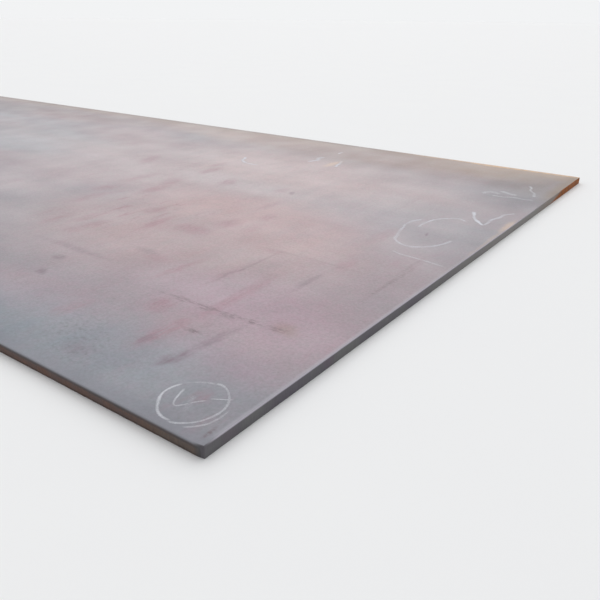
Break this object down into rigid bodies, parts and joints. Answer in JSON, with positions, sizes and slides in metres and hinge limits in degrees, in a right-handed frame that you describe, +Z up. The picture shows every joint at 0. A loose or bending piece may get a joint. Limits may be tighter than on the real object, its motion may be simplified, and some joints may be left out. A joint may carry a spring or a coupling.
{
  "type": "steel plate",
  "caption": "Hot-rolled steel plate lying flat, with torch-cut ends, sheared long sides, mill scale on its faces and light rust.",
  "frame": {"origin": "centre of the underside, which lies on the floor", "axes": "+X along the length, +Y across the width, +Z up through the thickness"},
  "size_m": [6, 2, 0.022],
  "materials": {
    "mill_scale_steel": "matt blue-grey mill scale with a thin red-brown rust bloom; dark grey torch-cut ends and brown rusted long sides"
  },
  "bodies": {
    "root": {"plate": "mill_scale_steel"}
  },
  "joints": []
}
